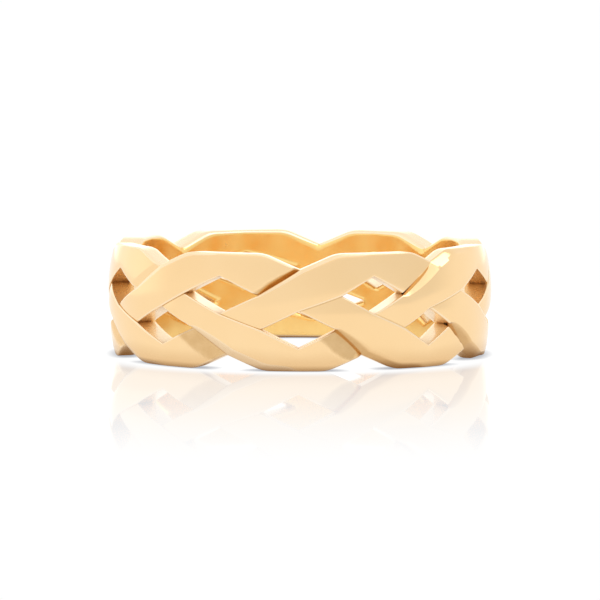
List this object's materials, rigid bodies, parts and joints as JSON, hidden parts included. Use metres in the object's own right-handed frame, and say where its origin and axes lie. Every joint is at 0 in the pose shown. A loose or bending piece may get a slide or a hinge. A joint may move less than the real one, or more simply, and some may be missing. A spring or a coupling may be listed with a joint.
{
  "type": "braided band ring",
  "caption": "Finger ring cast in one piece: a flat plait of three gold strands with four-sided piercings and wavy rims.",
  "frame": {"origin": "centre of the finger bore, at the height of the surface that the lower rim rests on", "axes": "+Z along the bore, up as the ring lies on its side; -Y through an upper crossing of the plait, which faces the viewer; +X to the viewer's right"},
  "size_m": [0.0202, 0.0202, 0.006],
  "materials": {
    "gold": "polished"
  },
  "bodies": {
    "root": {"braided_band": "gold"}
  },
  "joints": []
}
